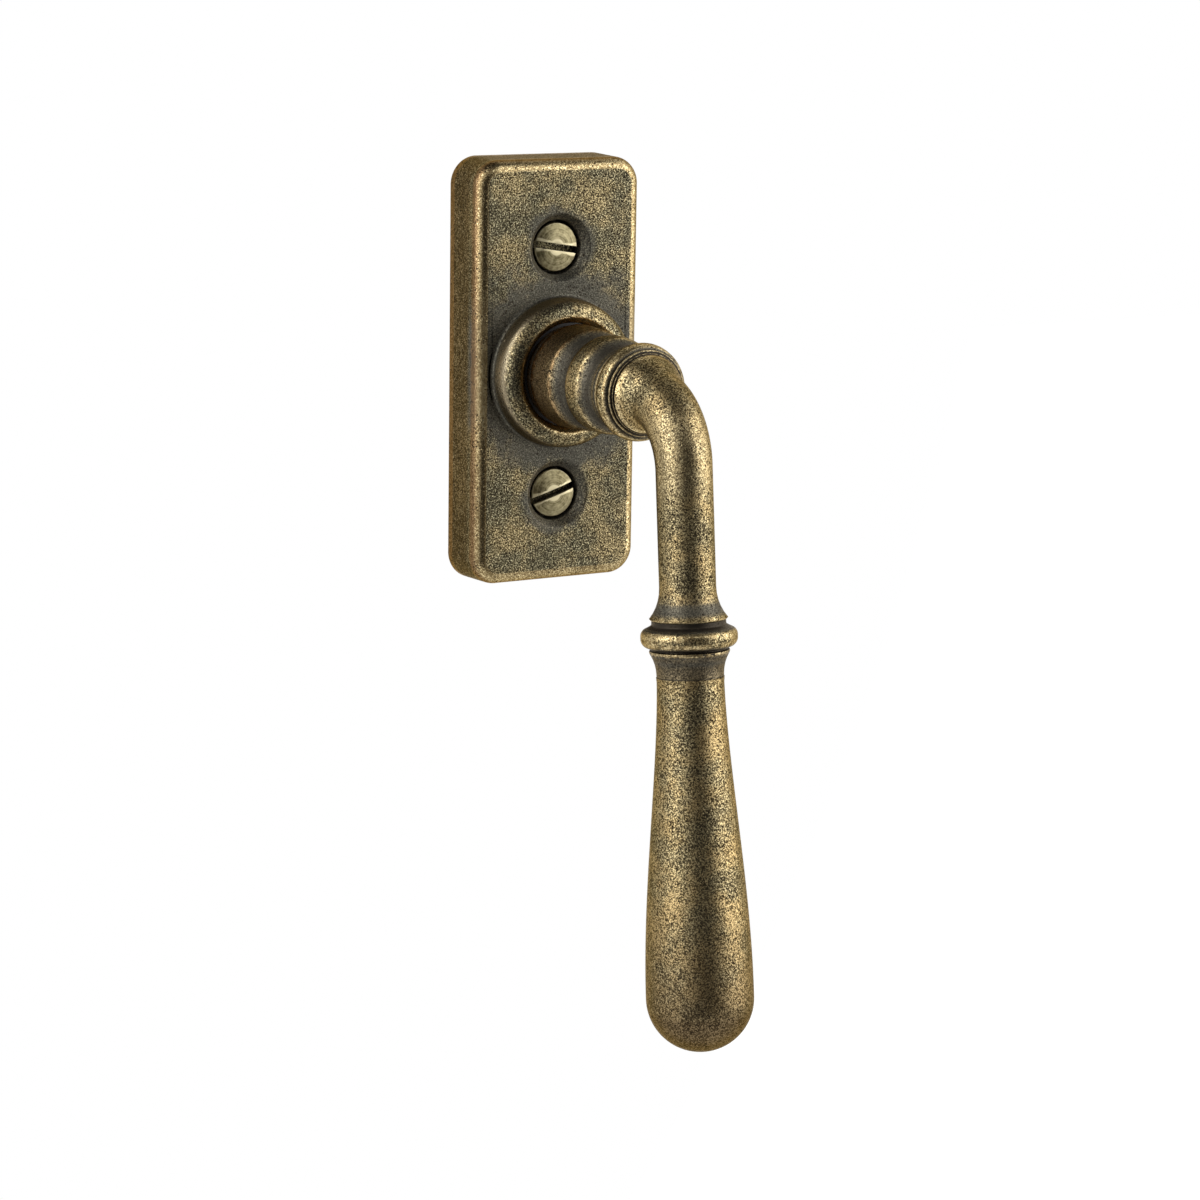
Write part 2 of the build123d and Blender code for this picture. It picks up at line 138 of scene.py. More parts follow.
# Neck of the lever
journal_end = 4.2
journal_radius = 7.0
clip_groove = (4.8, 5.9)
clip_root = 6.7
socket_radius = 5.0
socket_end = 30.0
hub_radius = 8.5
hub_back = 13.7
drum_back = 15.6
drum_radius = 9.0
knuckle_back = 40.0
knuckle_radius = 6.5

# Arm of the lever, with distances along it from the corner where its line meets the neck's axis
arm_depth = 50.85
arm_lean = radians(5.44)
stem_radius = 4.72
flare_lip = 35.6
waist_line = (45.1, 45.22)
waist_line_radius = 5.5
waist_distance = 45.3
waist_radius = 5.6
grip_radius = 9.05
grip_length = 54.1
grip_swell_lean = 0.9
grip_swell_steps = 64
grip_cap_steps = 24

# Spans over which the plate's finish, its painted shade and its painted shadows change: in depth, then
# outward from the neck's or a screw's axis
side_shade_and_browning = (plate_front - plate_edge, plate_front - plate_edge - 1.8)
edge_reddening = (plate_front - 0.5, plate_front - 1.4)
ring_start = (plate_front + 0.3, plate_front + 1.1)
ring_polish = (ring_front - 0.9, ring_front - 1.9)
flat_margin = (0.003, 0.03)
crest_rub = (ring_crest + 0.9, ring_crest)
ring_shadow = (ring_foot + 8.5, ring_foot + 2.5)
ring_shadow_wander = 14.0
dish_shadow = (dish_radius + 2.0, dish_radius - 0.5)
dish_shadow_wander = 6.0
dish_shelter = (dish_radius, dish_radius + 1.2)

# Spans over which the lever's finish and its painted shade change: in depth, along the arm, then from the
# middle of the bend
neck_shade_and_browning = (25, 19)
neck_reddening = (26, 20)
flare_shade = (32.0, flare_lip)
collar_foot = (41.6, 45.15)
grip_shade_and_browning = (78, 106)
cap_shade_and_browning = (waist_distance + grip_length - 1.0, waist_distance + grip_length + 3.0)
bend_rub = (11.0, 5.0)
bend_middle = (0, -49.5, -9.5)

# Depths over which dirt and painted shade lie on the screws' heads: in the slot, and ending at the seat
slot_dirt_and_shade = (head_rim - 0.15, head_rim - 0.4)
head_dirt_and_shade = (head_seat - 0.3, head_seat)

# Scales of the antique finish's patches, in 1 / metre
patch_scale = 170.0
pit_scale = 1500.0
pit_patch_scale = 420.0
wear_scale = 900.0
swell_scale = 260.0

# Studio, in metres: each softbox has its turn from the camera and lift in degrees, width, height and level,
# and each cloth its turn and lift, half its width and half its height
handle_middle = Vector((0, -0.03, -0.035))
lamp_distance = 1.1
softboxes = (("left_softbox", -55, 24, 0.8, 1.3, 3.3), ("right_softbox", 87, 14, 1.15, 1.3, 2.5))
cloths = (("dark_cloth", 20, -4, 0.66, 0.95), ("dark_ceiling", 0, 85, 0.75, 0.56))
floor_drop = 0.6
floor_half_width = 4
frame_face_gap = 0.00002
frame_face_height = 0.9
frame_face_half_width = 1.5
clear_beyond = 0.2

# Fineness of the turned forms
round_steps = 128
hole_steps = 64
small_hole_steps = 24
arc_step = radians(9)
longest_run = 0.8
bend_run = 0.5
shortest_run = 0.002
sharp_angle = radians(40)
weld_distance = 1e-6
seat_round = 0.15
small_round = 0.1

# How far up and down its line a form shelters what lies lower, on the neck and on the arm
relief_spreads = {"hollow": (2.2, 1.5), "shoulder": (1.2, 1.2)}
deepest_relief = 3.0
sharpest_crest = 4.0
evening_run = 0.2

room = Vector((0, -1, 0))
down_arm = Vector((0, -sin(arm_lean), -cos(arm_lean)))
arm_corner = room * arm_depth * MM


def outline(corners, longest=longest_run):
    """Points in metres through (along, out, rounding) corners, each turned by an arc of its rounding."""
    points = []
    places = [Vector((along, out)) for along, out, rounding in corners]
    for index, (along, out, rounding) in enumerate(corners):
        here = places[index]
        if rounding == 0:
            points.append(here)
            continue
        before = (places[index - 1] - here).normalized()
        after = (places[index + 1] - here).normalized()
        turn = pi - before.angle(after)
        reach = rounding * tan(turn / 2)
        centre = here + (before + after).normalized() * rounding / cos(turn / 2)
        start = (here + before * reach - centre).normalized()
        end = (here + after * reach - centre).normalized()
        steps = max(2, ceil(turn / arc_step))
        points += [centre + start.slerp(end, step / steps) * rounding for step in range(steps + 1)]
    filled = [points[0]]
    for point in points[1:]:
        gap = point - filled[-1]
        if gap.length < shortest_run:
            continue
        parts = max(1, ceil(gap.length / longest))
        filled += [point - gap * (parts - part) / parts for part in range(1, parts + 1)]
    return [point * MM for point in filled]


def facing(place, direction):
    """The frame at a place whose local Z runs along a direction and whose local X stays level."""
    across = Vector((1, 0, 0))
    turned = Matrix((across, direction.cross(across), direction)).transposed().to_4x4()
    return Matrix.Translation(place) @ turned


def edges_of(verts):
    """The edges that join these points to each other."""
    chosen = set(verts)
    return list({edge for vert in verts for edge in vert.link_edges if edge.other_vert(vert) in chosen})


def extend(bm, rim):
    """Extrudes the open rim and gives the new rim's points and edges."""
    grown = bmesh.ops.extrude_edge_only(bm, edges=rim)["geom"]
    ring = [item for item in grown if isinstance(item, bmesh.types.BMVert)]
    return ring, edges_of(ring)


def sweep(bm, stations, steps):
    """A skin through circles, each given by its frame and its radius."""
    first, radius = stations[0]
    circle = bmesh.ops.create_circle(bm, cap_ends=False, segments=steps, radius=radius, matrix=first)
    rim = edges_of(circle["verts"])
    before = first @ Matrix.Scale(radius, 4)
    for matrix, radius in stations[1:]:
        ring, rim = extend(bm, rim)
        after = matrix @ Matrix.Scale(radius, 4)
        bmesh.ops.transform(bm, matrix=after @ before.inverted(), verts=ring)
        before = after


def lathe(bm, points, start, axis, steps):
    """Turns an outline of (along, out) points once round an axis through a start."""
    across = Vector((1, 0, 0))
    verts = [bm.verts.new(start + axis * along + across * out) for along, out in points]
    edges = [bm.edges.new(pair) for pair in zip(verts, verts[1:])]
    bmesh.ops.spin(bm, geom=verts + edges, cent=start, axis=axis, angle=2 * pi, steps=steps,
                   use_merge=True, use_duplicate=False)


def rounded_wall(bm, half_width, half_height, corner, points):
    """A wall along a rounded rectangle, through (depth, inset) points in metres."""
    half_width, half_height, corner = half_width * MM, half_height * MM, corner * MM
    depth, inset = points[0]
    half_step = Matrix.Rotation(pi / hole_steps, 4, "Z")
    loop = bmesh.ops.create_circle(bm, cap_ends=False, segments=hole_steps, radius=corner - inset,
                                   matrix=facing(room * depth, room) @ half_step)["verts"]
    for vert in loop:
        vert.co.x += copysign(half_width - corner, vert.co.x)
        vert.co.z += copysign(half_height - corner, vert.co.z)
    rim = edges_of(loop)
    for next_depth, next_inset in points[1:]:
        loop, rim = extend(bm, rim)
        share = (corner - next_inset) / (corner - inset)
        for vert in loop:
            corner_x = copysign(half_width - corner, vert.co.x)
            corner_z = copysign(half_height - corner, vert.co.z)
            vert.co = Vector((corner_x + (vert.co.x - corner_x) * share, -next_depth,
                              corner_z + (vert.co.z - corner_z) * share))
        inset = next_inset


def fill_level(bm, depth):
    """Fills the flat between the open rims at a depth."""
    level = [edge for edge in bm.edges
             if edge.is_boundary and all(abs(vert.co.y + depth * MM) < 1e-7 for vert in edge.verts)]
    bmesh.ops.triangle_fill(bm, use_beauty=True, use_dissolve=False, edges=level, normal=room)


def store_values(mesh, name, values):
    """Stores a number for each point of a mesh, for the finish to read."""
    layer = mesh.attributes.new(name, "FLOAT", "POINT")
    layer.data.foreach_set("value", np.asarray(values, np.float32))


def points_of(mesh):
    """The places of a mesh's points."""
    places = np.empty(len(mesh.vertices) * 3)
    mesh.vertices.foreach_get("co", places)
    return places.reshape(-1, 3)


def store_crests(mesh, rounds=3):
    """Stores how sharply each point stands out, as 1 / radius in mm of a bend at it, evened over rounds.

    Of the bends at a point that are stronger than the one it has, the last one stays.
    """
    count = len(mesh.vertices)
    places = points_of(mesh)
    normals = np.empty(count * 3)
    mesh.vertex_normals.foreach_get("vector", normals)
    normals = normals.reshape(-1, 3)
    pairs = np.empty(len(mesh.edges) * 2, np.int64)
    mesh.edges.foreach_get("vertices", pairs)
    start, end = pairs.reshape(-1, 2).T
    run = (places[end] - places[start]) / MM
    length = np.maximum(np.linalg.norm(run, axis=1), 1e-4)
    bend = ((normals[end] - normals[start]) * run).sum(1) / length ** 2
    sharpness = np.zeros(count)
    for ends in (start, end):
        stronger = np.abs(bend) > np.abs(sharpness[ends])
        np.put(sharpness, ends[stronger], bend[stronger])
    weight = 1 / (length + evening_run)
    total = np.bincount(start, weight, count) + np.bincount(end, weight, count)
    for _ in range(rounds):
        spread = np.bincount(start, weight * sharpness[end], count)
        spread += np.bincount(end, weight * sharpness[start], count)
        sharpness = 0.5 * sharpness + 0.5 * spread / total
    store_values(mesh, "crest", np.clip(sharpness, 0, sharpest_crest))


def below_neighbours(points, along, out, spread):
    """How far turned points (along, out) lie under the highest form within a spread of them, in mm."""
    line, rise = np.array(points).T
    near = np.abs(line[:, None] - line[None, :]) < spread * MM
    high = np.where(near, rise[None, :], 0).max(1)
    order = np.argsort(line)
    return (np.interp(along, line[order], high[order]) - out) / MM


def weld(bm):
    """Joins points that lie on each other and turns all faces outward."""
    bmesh.ops.remove_doubles(bm, verts=bm.verts, dist=weld_distance)
    bmesh.ops.recalc_face_normals(bm, faces=bm.faces)


def new_object(name, bm):
    """An object in the scene from a modelled mesh."""
    mesh = bpy.data.meshes.new(name)
    bm.to_mesh(mesh)
    bm.free()
    item = bpy.data.objects.new(name, mesh)
    bpy.context.scene.collection.objects.link(item)
    return item


def finish_piece(bm, name, body, node, material):
    """Closes a modelled piece, shades it smooth between sharp edges and puts it in its node's place."""
    weld(bm)
    piece = new_object(name, bm)
    piece.data.shade_smooth()
    store_crests(piece.data)
    piece.data.set_sharp_from_angle(angle=sharp_angle)
    piece.data.materials.append(material)
    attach(piece, body)
    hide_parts(node)
    return piece


def make_plate(material):
    """The plate: softly rounded casting with its ring, screw seats, cavity and cover recess."""
    bm = bmesh.new()
    rounded_wall(bm, plate_half_width, plate_half_height, plate_corner,
                 outline([(0, plate_back_rim, 0), (0, 0, plate_back_edge),
                          (plate_front, plate_draft, plate_edge), (plate_front, plate_front_rim, 0)]))
    lathe(bm, outline([(plate_front, ring_foot + ring_foot_rim, 0),
                       (plate_front, ring_foot, ring_foot_fillet),
                       (ring_front - ring_shoulder_fall, ring_shoulder, ring_shoulder_round),
                       (ring_front, ring_crest, ring_crest_round),
                       (pocket_mouth, pocket_radius, pocket_round),
                       (pocket_floor, pocket_radius, seat_round),
                       (pocket_floor, bush_seat, small_round), (cavity_depth, bush_seat, 0)]),
          Vector(), room, round_steps)
    for height in (screw_height, -screw_height):
        lathe(bm, outline([(plate_front, dish_radius + dish_rim, 0),
                           (plate_front, dish_radius, dish_round),
                           (dish_floor, counterbore, dish_round), (head_seat, counterbore, seat_round),
                           (head_seat, screw_bore, small_round), (spigot_floor, screw_bore, 0),
                           (spigot_floor, spigot_seat, 0), (sleeve_floor, spigot_seat, 0),
                           (sleeve_floor, sleeve_seat, 0), (0, sleeve_seat, 0)]),
              Vector((0, 0, height * MM)), room, hole_steps)
    rounded_wall(bm, cover_half_width, cover_half_height, cavity_corner,
                 outline([(0, -cover_rim, 0), (0, 0, small_round), (cover_recess, 0, 0)]))
    rounded_wall(bm, cavity_half_width, cavity_half_height, cavity_corner,
                 outline([(cover_recess, 0, 0), (cavity_depth, 0, 0)]))
    for side in (-1, 1):
        lathe(bm, outline([(cover_recess, cover_screw_hole, 0), (cover_screw_depth, cover_screw_hole, 0),
                           (cover_screw_depth, 0, 0)]),
              Vector((side * cover_screw_offset * MM, 0, 0)), room, small_hole_steps)
    for depth in (0, cover_recess, cavity_depth, plate_front):
        fill_level(bm, depth)
    finish_piece(bm, "plate_casting", "base", "base_plate", material)


def neck_outline():
    """The turned neck, through (depth, radius, rounding) corners from its socket to the knuckle."""
    clip_back, clip_front = clip_groove
    socket = [(socket_end, 0, 0), (socket_end, socket_radius, 0.2), (journal_end, socket_radius, 0.2)]
    journal = [(journal_end, journal_radius, 0.3), (clip_back, journal_radius, 0),
               (clip_back, clip_root, 0), (clip_front, clip_root, 0), (clip_front, journal_radius, 0),
               (hub_back, journal_radius, 0.1)]
    drum = [(hub_back, hub_radius, 0.2), (drum_back, hub_radius, 0.1), (drum_back, drum_radius, 0.45),
            (21.6, 8.75, 1.1)]
    first_cove = [(24.6, 7.4, 3.2), (26.4, 7.72, 0.12)]
    middle_ring = [(26.4, 8.28, 0.45), (28.2, 8.4, 4.0), (30.0, 8.2, 1.3)]
    second_cove = [(32.2, 6.95, 2.6), (34.9, 7.19, 0.08)]
    fillet_line = [(34.9, 7.39, 0.08), (35.4, 7.39, 0.08), (35.4, 7.15, 0.08), (36.0, 7.15, 0.1)]
    front_ring = [(36.05, 7.95, 0.9), (37.6, 8.35, 1.6), (39.1, 7.95, 0.9)]
    knuckle_lines = [(39.15, 7.0, 0.08), (39.3, 7.0, 0.08), (39.3, 7.35, 0.12), (39.7, 7.3, 0.15),
                     (39.7, 6.8, 0.05), (39.85, 6.8, 0.05), (knuckle_back, knuckle_radius, 0)]
    return outline(socket + journal + drum + first_cove + middle_ring + second_cove + fillet_line
                   + front_ring + knuckle_lines)


def arm_outline():
    """The stem, the collar with its bead and the grip, through (distance, radius, rounding) corners."""
    line_start, line_end = waist_line
    flare = [(arm_depth - knuckle_back, stem_radius, 0), (33.3, stem_radius, 8.0), (flare_lip, 6.6, 0.3)]
    upper_groove = [(35.8, 6.2, 0.15), (36.6, 6.2, 0.5)]
    bead = [(37.1, 7.1, 0.4), (37.3, 8.07, 1.3), (40.3, 8.07, 1.5)]
    lower_groove = [(40.35, 6.2, 0.2), (40.75, 6.2, 0.2)]
    foot = [(40.8, 6.7, 0.1), (41.15, 6.7, 0.15), (43.0, waist_radius, 7.0), (45.05, waist_radius, 0)]
    line = [(line_start, waist_line_radius, 0), (line_end, waist_line_radius, 0), (45.27, 5.68, 0)]
    points = outline(flare + upper_groove + bead + lower_groove + foot + line)
    for step in range(1, grip_swell_steps):
        share = (step / grip_swell_steps) ** grip_swell_lean
        swell = 3 * share ** 2 - 2 * share ** 3
        points.append(Vector((waist_distance + grip_length * step / grip_swell_steps,
                              waist_radius + (grip_radius - waist_radius) * swell)) * MM)
    for step in range(grip_cap_steps + 1):
        turn = step / grip_cap_steps * pi / 2
        points.append(Vector((waist_distance + grip_length + grip_radius * sin(turn),
                              grip_radius * cos(turn))) * MM)
    return points


def make_lever(material):
    """The lever in one casting: turned neck, knuckle flowing into the bend, stem, collar and grip."""
    bm = bmesh.new()
    reach = (arm_depth - knuckle_back) * MM
    bend_angle = pi / 2 - arm_lean
    bend_radius = reach / tan(bend_angle / 2)
    stations = []
    bend_length = bend_radius * bend_angle / MM
    throat = [(0, knuckle_radius, 0), (0, 6.7, 0.2), (3.4, 5.05, 2.4), (bend_length, stem_radius, 0)]
    for length, radius in outline(throat, bend_run):
        turn = length / bend_radius
        place = room * (knuckle_back * MM + bend_radius * sin(turn))
        place += Vector((0, 0, cos(turn) - 1)) * bend_radius
        stations.append((facing(place, Vector((0, -cos(turn), -sin(turn)))), radius))
    sweep(bm, stations, round_steps)
    lathe(bm, neck_outline(), Vector(), room, round_steps)
    lathe(bm, arm_outline(), arm_corner, down_arm, round_steps)
    piece = finish_piece(bm, "lever_casting", "lever", "lever", material)
    store_reliefs(piece.data, reach)


def store_reliefs(mesh, reach):
    """Stores how far points of the lever lie under the forms beside them; bend and grip stay at 0."""
    places = points_of(mesh)
    out = -places[:, 1]
    off_neck = np.hypot(places[:, 0], places[:, 2])
    from_corner = places - np.array(arm_corner)
    down = from_corner @ np.array(down_arm)
    off_arm = np.linalg.norm(from_corner - down[:, None] * np.array(down_arm), axis=1)
    on_neck = out < knuckle_back * MM + 1e-5
    plain = ~on_neck & ((down < reach) | (down > waist_distance * MM))
    for name, (neck_spread, arm_spread) in relief_spreads.items():
        below = np.where(on_neck, below_neighbours(neck_outline(), out, off_neck, neck_spread),
                         below_neighbours(arm_outline(), down, off_arm, arm_spread))
        store_values(mesh, name, np.clip(np.where(plain, 0, below), 0, deepest_relief))


def cut_thread(bm, centre):
    """A helical thread: one turn of its tooth, repeated along the screw and closed at both ends."""
    sunk = thread_root - 0.1
    tooth = [(0, sunk), (0.12, thread_root), (0.36, thread_crest),
             (0.44, thread_crest), (0.68, thread_root), (0.78, sunk)]
    verts = [bm.verts.new(centre + Vector((radius, thread_start + along, 0)) * MM)
             for along, radius in tooth]
    edges = [bm.edges.new(pair) for pair in zip(verts, verts[1:] + verts[:1])]
    climb = Vector((0, thread_pitch * MM / thread_steps, 0))
    bmesh.ops.spin(bm, geom=edges + verts, cent=centre, axis=(0, 1, 0), angle=2 * pi,
                   steps=thread_steps, dvec=climb, use_merge=False, use_duplicate=False)
    turn = list(bm.verts) + list(bm.edges) + list(bm.faces)
    for count in range(1, thread_turns):
        copied = bmesh.ops.duplicate(bm, geom=turn)["geom"]
        moved = [item for item in copied if isinstance(item, bmesh.types.BMVert)]
        bmesh.ops.translate(bm, verts=moved, vec=(0, count * thread_pitch * MM, 0))
    bmesh.ops.remove_doubles(bm, verts=bm.verts, dist=weld_distance)
    bmesh.ops.holes_fill(bm, edges=[edge for edge in bm.edges if edge.is_boundary], sides=len(tooth))


def screw_blank(centre):
    """The turned screw before its slot and thread are cut."""
    bm = bmesh.new()
    lathe(bm, outline([(head_top, 0, 0), (head_top - dome_fall, dome_radius, dome_round),
                       (head_rim, head_radius, 0.3), (head_seat, head_radius, small_round),
                       (head_seat, shank_radius, small_round), (-shank_end, shank_radius, 0),
                       (-shank_cone_end, thread_root, 0),
                       (screw_tip_chamfer - screw_length, thread_root, 0.2),
                       (-screw_length, screw_tip_radius, small_round), (-screw_length, 0, 0)]),
          centre, room, hole_steps)
    weld(bm)
    return new_object("screw_blank", bm)


def cut_slot(blank, slot_frame):
    """The screw's mesh with its slot cut and the slot's lips rounded; the blank is used up."""
    cutter_bm = bmesh.new()
    slot_box = Matrix.Diagonal((4 * head_radius * MM, slot_width * MM, 2 * slot_depth * MM, 1))
    bmesh.ops.create_cube(cutter_bm, size=1, matrix=slot_frame @ slot_box)
    cutter = new_object("slot_cutter", cutter_bm)
    cut = blank.modifiers.new("slot", "BOOLEAN")
    cut.operation = "DIFFERENCE"
    cut.solver = "EXACT"
    cut.object = cutter
    bpy.context.view_layer.update()
    depsgraph = bpy.context.evaluated_depsgraph_get()
    slotted = bpy.data.meshes.new_from_object(blank.evaluated_get(depsgraph))
    for helper in (blank, cutter):
        bpy.data.objects.remove(helper)

    bm = bmesh.new()
    bm.from_mesh(slotted)
    to_slot = slot_frame.inverted()
    lips = []
    for edge in bm.edges:
        ends = [to_slot @ vert.co for vert in edge.verts]
        on_lip = all(abs(abs(end.y) - slot_width * MM / 2) < weld_distance and end.z > -lip_depth * MM
                     for end in ends)
        if on_lip and edge.is_manifold and edge.calc_face_angle() > lip_angle:
            lips.append(edge)
    bmesh.ops.bevel(bm, geom=lips, offset=slot_burr * MM, segments=2, affect="EDGES", profile=0.5,
                    material=-1, clamp_overlap=True)
    return bm


def make_screw(place, height, material):
    """A slotted cheese-head screw with a cut thread."""
    centre = Vector((0, 0, height * MM))
    slot_turn = Matrix.Rotation(slot_angles[place], 4, "Z")
    bm = cut_slot(screw_blank(centre), facing(centre + room * head_top * MM, room) @ slot_turn)
    threaded = bmesh.new()
    cut_thread(threaded, centre)
    thread_mesh = bpy.data.meshes.new("thread")
    threaded.to_mesh(thread_mesh)
    threaded.free()
    bm.from_mesh(thread_mesh)
    finish_piece(bm, f"slotted_screw_{place}", "base", f"fixing_screw_{place}", material)


def add(tree, kind, **values):
    """A new node with these settings."""
    node = tree.nodes.new(kind)
    for name, value in values.items():
        setattr(node, name, value)
    return node


def feed(tree, socket, value):
    """Gives a socket a number, a colour or another socket."""
    if isinstance(value, bpy.types.NodeSocket):
        tree.links.new(value, socket)
    elif isinstance(value, tuple) and socket.type == "RGBA":
        socket.default_value = (*value, 1)
    else:
        socket.default_value = value


def number(tree, operation, *values):
    """A Math node on numbers or sockets."""
    node = add(tree, "ShaderNodeMath", operation=operation)
    for socket, value in zip(node.inputs, values):
        feed(tree, socket, value)
    return node.outputs[0]


def times(tree, first, second):
    """The product of two values."""
    return number(tree, "MULTIPLY", first, second)


def larger(tree, first, second):
    """The larger of two values."""
    return number(tree, "MAXIMUM", first, second)


def graded(tree, value, slope, base):
    """A value times a slope, plus a base."""
    return number(tree, "MULTIPLY_ADD", value, slope, base)


def ramp(tree, value, low, high):
    """The value stretched so that low is 0 and high is 1, with soft ends."""
    node = add(tree, "ShaderNodeMapRange", interpolation_type="SMOOTHSTEP")
    for name, given in (("Value", value), ("From Min", low), ("From Max", high)):
        feed(tree, node.inputs[name], given)
    return node.outputs["Result"]


def over(tree, value, span):
    """A ramp from the first to the second end of a span in mm."""
    start, end = span
    return ramp(tree, value, start * MM, end * MM)


def band(tree, value, span, fade):
    """1 within a span in mm, fading out over a distance at both ends."""
    start, end = span
    return times(tree, over(tree, value, (start - fade, start)), over(tree, value, (end + fade, end)))


def mix(tree, share, first, second, blend="MIX"):
    """Two colours mixed by a share; each is a colour or a socket."""
    node = add(tree, "ShaderNodeMix", data_type="RGBA", blend_type=blend)
    for index, value in ((0, share), (6, first), (7, second)):
        feed(tree, node.inputs[index], value)
    return node.outputs[2]


def tones(tree, share, *stops):
    """A colour for each share from 0 to 1, through (share, colour) stops."""
    node = add(tree, "ShaderNodeValToRGB")
    feed(tree, node.inputs["Fac"], share)
    ends = node.color_ramp.elements
    ends[0].position, ends[1].position = stops[0][0], stops[-1][0]
    ends[0].color, ends[1].color = (*stops[0][1], 1), (*stops[-1][1], 1)
    for place, colour in stops[1:-1]:
        ends.new(place).color = (*colour, 1)
    return node.outputs["Color"]


def grain(tree, vector, scale, detail=2.0, roughness=0.5, distortion=0.0):
    """A Noise Texture read at a vector; its grains are 1 / scale metres wide."""
    node = add(tree, "ShaderNodeTexNoise")
    for name, value in (("Vector", vector), ("Scale", scale), ("Detail", detail),
                        ("Roughness", roughness), ("Distortion", distortion)):
        feed(tree, node.inputs[name], value)
    return node.outputs["Fac"]


def stored(tree, name):
    """The number that the mesh stores for each point under a name."""
    return add(tree, "ShaderNodeAttribute", attribute_name=name).outputs["Fac"]


def own_place(tree):
    """The piece's own coordinates."""
    return add(tree, "ShaderNodeTexCoord").outputs["Object"]


def placed(tree, centre=(0, 0, 0), scale=(1, 1, 1)):
    """The piece's own coordinates in metres, from a centre in mm and stretched by a scale."""
    node = add(tree, "ShaderNodeMapping")
    feed(tree, node.inputs["Vector"], own_place(tree))
    moved = [-value * MM * factor for value, factor in zip(centre, scale)]
    node.inputs["Location"].default_value = moved
    node.inputs["Scale"].default_value = scale
    return node.outputs["Vector"]


def depth_of(tree):
    """How far a point stands out of the wall, in metres."""
    split = add(tree, "ShaderNodeSeparateXYZ")
    feed(tree, split.inputs[0], own_place(tree))
    return times(tree, split.outputs["Y"], -1.0)


def length_of(tree, vector):
    """The length of a vector."""
    node = add(tree, "ShaderNodeVectorMath", operation="LENGTH")
    feed(tree, node.inputs[0], vector)
    return node.outputs["Value"]


def new_group(name, inputs, outputs):
    """An empty shader group with named inputs, each with its value, and named outputs."""
    tree = bpy.data.node_groups.new(name, "ShaderNodeTree")
    for title, value in inputs:
        kind = "NodeSocketColor" if isinstance(value, tuple) else "NodeSocketFloat"
        socket = tree.interface.new_socket(title, in_out="INPUT", socket_type=kind)
        socket.default_value = (*value, 1) if isinstance(value, tuple) else value
    for title in outputs:
        kind = "NodeSocketColor" if title == "Color" else "NodeSocketFloat"
        tree.interface.new_socket(title, in_out="OUTPUT", socket_type=kind)
    return tree, add(tree, "NodeGroupInput").outputs, add(tree, "NodeGroupOutput").inputs


def use(tree, group, **values):
    """A group placed in a material with its own values."""
    node = add(tree, "ShaderNodeGroup", node_tree=group)
    for name, value in values.items():
        feed(tree, node.inputs[name], value)
    return node.outputs


def make_speckle_group():
    """Fine gold grains on a black ground: the dark finish has stayed in the skin of the casting."""
    tree, given, result = new_group(
        "gold_speckle", [("Grain", 4100.0), ("Gold", 0.5), ("Patchiness", 0.5)],
        ["Grains", "Patches", "Pits"])
    place = own_place(tree)
    fine = grain(tree, place, given["Grain"], 1.0, 0.6, 0.5)
    worms = grain(tree, place, times(tree, given["Grain"], 0.5), 1.0, 0.5, 1.2)
    gap = ramp(tree, number(tree, "ABSOLUTE", number(tree, "SUBTRACT", worms, 0.5)), 0.0, 0.06)
    patches = grain(tree, place, patch_scale, 3.0, 0.6)
    lean = number(tree, "SUBTRACT", given["Gold"], 0.5)
    swing = times(tree, number(tree, "SUBTRACT", patches, 0.5), given["Patchiness"])
    level = number(tree, "ADD", number(tree, "ADD", fine, swing), lean)
    feed(tree, result["Grains"], times(tree, ramp(tree, level, 0.35, 0.66), graded(tree, gap, 0.7, 0.3)))
    feed(tree, result["Patches"], ramp(tree, patches, 0.35, 0.65))
    cells = add(tree, "ShaderNodeTexVoronoi", feature="F1")
    feed(tree, cells.inputs["Vector"], place)
    cells.inputs["Scale"].default_value = pit_scale
    near = ramp(tree, cells.outputs["Distance"], 0.34, 0.18)
    pitted = ramp(tree, grain(tree, place, pit_patch_scale, 1.0), 0.42, 0.52)
    feed(tree, result["Pits"], times(tree, near, pitted))
    return tree


def make_wear_group():
    """Where hands have rubbed the crests bright, where the dark finish has stayed in hollows, and painted
    shade in the deepest hollows.
    """
    tree, given, result = new_group(
        "rubbed_crests", [("Rub", 1.0), ("Shelter", 1.0)], ["Worn", "Patina_and_shade", "Deep_shade"])
    uneven = number(tree, "SUBTRACT", grain(tree, own_place(tree), wear_scale, 3.0, 0.6), 0.5)
    crest = stored(tree, "crest")
    hollow = stored(tree, "hollow")
    rubbed = graded(tree, uneven, 0.22, times(tree, crest, given["Rub"]))
    topmost = ramp(tree, graded(tree, crest, -0.27, stored(tree, "shoulder")), 0.55, 0.1)
    feed(tree, result["Worn"], times(tree, ramp(tree, rubbed, 0.24, 0.42), topmost))
    kept = graded(tree, uneven, 0.3, times(tree, hollow, given["Shelter"]))
    feed(tree, result["Patina_and_shade"], ramp(tree, kept, 0.06, 0.85))
    # Painted shade: the deepest hollows are marked for darkening towards black.
    feed(tree, result["Deep_shade"], ramp(tree, hollow, 0.2, 1.5))
    return tree


